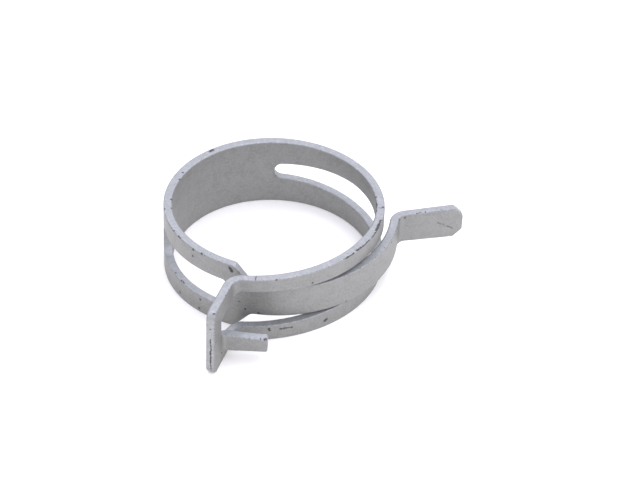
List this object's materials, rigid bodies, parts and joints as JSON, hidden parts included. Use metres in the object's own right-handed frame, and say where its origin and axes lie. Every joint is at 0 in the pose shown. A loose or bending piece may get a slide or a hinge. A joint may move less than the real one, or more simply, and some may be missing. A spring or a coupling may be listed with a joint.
{
  "type": "hose clamp",
  "caption": "Constant-tension spring band hose clamp: one wound strip whose tongue passes through a window, with two grip ears and a stop lug.",
  "frame": {"origin": "on the hose's axis, at half the strip's width", "axes": "+Z along the hose; +X towards the tongue's grip ear; the fork ear points towards -Y"},
  "size_m": [0.0474, 0.0444, 0.012],
  "materials": {
    "zinc_flake_steel": "matte zinc-flake coating on spring steel, chipped at the edges"
  },
  "bodies": {
    "back_band": {"back_band": "zinc_flake_steel"},
    "window_root": {"window_root": "zinc_flake_steel"},
    "rear_rails": {"rear_upper_rail": "zinc_flake_steel", "rear_lower_rail": "zinc_flake_steel"},
    "right_rails": {"right_upper_rail": "zinc_flake_steel", "right_lower_rail": "zinc_flake_steel"},
    "side_rails": {"side_upper_rail": "zinc_flake_steel", "side_lower_rail": "zinc_flake_steel"},
    "front_rails": {"front_upper_rail": "zinc_flake_steel", "front_lower_rail": "zinc_flake_steel"},
    "fork_ear": {"fork_upper_rail": "zinc_flake_steel", "fork_lower_rail": "zinc_flake_steel", "fork_ear_upper_leg": "zinc_flake_steel", "fork_ear_lower_leg": "zinc_flake_steel", "fork_crossbar": "zinc_flake_steel", "stop_lug": "zinc_flake_steel"},
    "left_band": {"left_band": "zinc_flake_steel"},
    "slot_root": {"slot_root": "zinc_flake_steel"},
    "slot_rails": {"slot_upper_rail": "zinc_flake_steel", "slot_lower_rail": "zinc_flake_steel"},
    "tongue_shoulder": {"tongue_shoulder": "zinc_flake_steel"},
    "tongue_root": {"tongue_root": "zinc_flake_steel"},
    "tongue_middle": {"tongue_middle": "zinc_flake_steel"},
    "tongue_end": {"tongue_tip": "zinc_flake_steel", "tongue_ear": "zinc_flake_steel"}
  },
  "joints": [
    {"name": "ring_opening", "type": "hinge", "parent": "back_band", "child": "left_band", "pos_m": [-0.01168, 0.01297, 0], "axis": [0, 0, -1], "range_deg": [0, 7.75], "stiffness_Nm_per_rad": 5},
    {"name": "flex_slot_root", "type": "hinge", "parent": "left_band", "child": "slot_root", "pos_m": [-0.01707, 0.00363, 0], "axis": [0, 0, -1], "range_deg": [0, 6.64]},
    {"name": "flex_slot_rails", "type": "hinge", "parent": "slot_root", "child": "slot_rails", "pos_m": [-0.0168, -0.00408, 0], "axis": [0, 0, -1], "range_deg": [0, 5.52]},
    {"name": "flex_shoulder", "type": "hinge", "parent": "slot_rails", "child": "tongue_shoulder", "pos_m": [-0.01294, -0.01077, 0], "axis": [0, 0, -1], "range_deg": [0, 7.12]},
    {"name": "flex_tongue_root", "type": "hinge", "parent": "tongue_shoulder", "child": "tongue_root", "pos_m": [-0.00218, -0.01625, 0], "axis": [0, 0, -1], "range_deg": [0, 7.1]},
    {"name": "flex_tongue_middle", "type": "hinge", "parent": "tongue_root", "child": "tongue_middle", "pos_m": [0.00552, -0.01571, 0], "axis": [0, 0, -1], "range_deg": [0, 6.75]},
    {"name": "flex_tongue_end", "type": "hinge", "parent": "tongue_middle", "child": "tongue_end", "pos_m": [0.01493, -0.00972, 0], "axis": [0, 0, -1], "range_deg": [0, 8.31]},
    {"name": "flex_window_root", "type": "hinge", "parent": "back_band", "child": "window_root", "pos_m": [-0.00182, 0.01735, 0], "axis": [0, 0, 1], "range_deg": [0, 7.98]},
    {"name": "flex_rear_rails", "type": "hinge", "parent": "window_root", "child": "rear_rails", "pos_m": [0.00925, 0.0148, 0], "axis": [0, 0, 1], "range_deg": [0, 7.54]},
    {"name": "flex_right_rails", "type": "hinge", "parent": "rear_rails", "child": "right_rails", "pos_m": [0.01568, 0.00765, 0], "axis": [0, 0, 1], "range_deg": [0, 6.06]},
    {"name": "flex_side_rails", "type": "hinge", "parent": "right_rails", "child": "side_rails", "pos_m": [0.01733, 0.00053, 0], "axis": [0, 0, 1], "range_deg": [0, 5.23]},
    {"name": "flex_front_rails", "type": "hinge", "parent": "side_rails", "child": "front_rails", "pos_m": [0.01568, -0.0066, 0], "axis": [0, 0, 1], "range_deg": [0, 6.87]},
    {"name": "flex_fork_ear", "type": "hinge", "parent": "front_rails", "child": "fork_ear", "pos_m": [0.00773, -0.01543, 0], "axis": [0, 0, 1], "range_deg": [0, 8.61]}
  ],
  "couplings": [
    {"joint": "flex_slot_root", "follows": "ring_opening", "ratio": 0.855},
    {"joint": "flex_slot_rails", "follows": "ring_opening", "ratio": 0.711},
    {"joint": "flex_shoulder", "follows": "ring_opening", "ratio": 0.917},
    {"joint": "flex_tongue_root", "follows": "ring_opening", "ratio": 0.915},
    {"joint": "flex_tongue_middle", "follows": "ring_opening", "ratio": 0.87},
    {"joint": "flex_tongue_end", "follows": "ring_opening", "ratio": 1.071},
    {"joint": "flex_window_root", "follows": "ring_opening", "ratio": 1.028},
    {"joint": "flex_rear_rails", "follows": "ring_opening", "ratio": 0.972},
    {"joint": "flex_right_rails", "follows": "ring_opening", "ratio": 0.781},
    {"joint": "flex_side_rails", "follows": "ring_opening", "ratio": 0.673},
    {"joint": "flex_front_rails", "follows": "ring_opening", "ratio": 0.885},
    {"joint": "flex_fork_ear", "follows": "ring_opening", "ratio": 1.11}
  ]
}
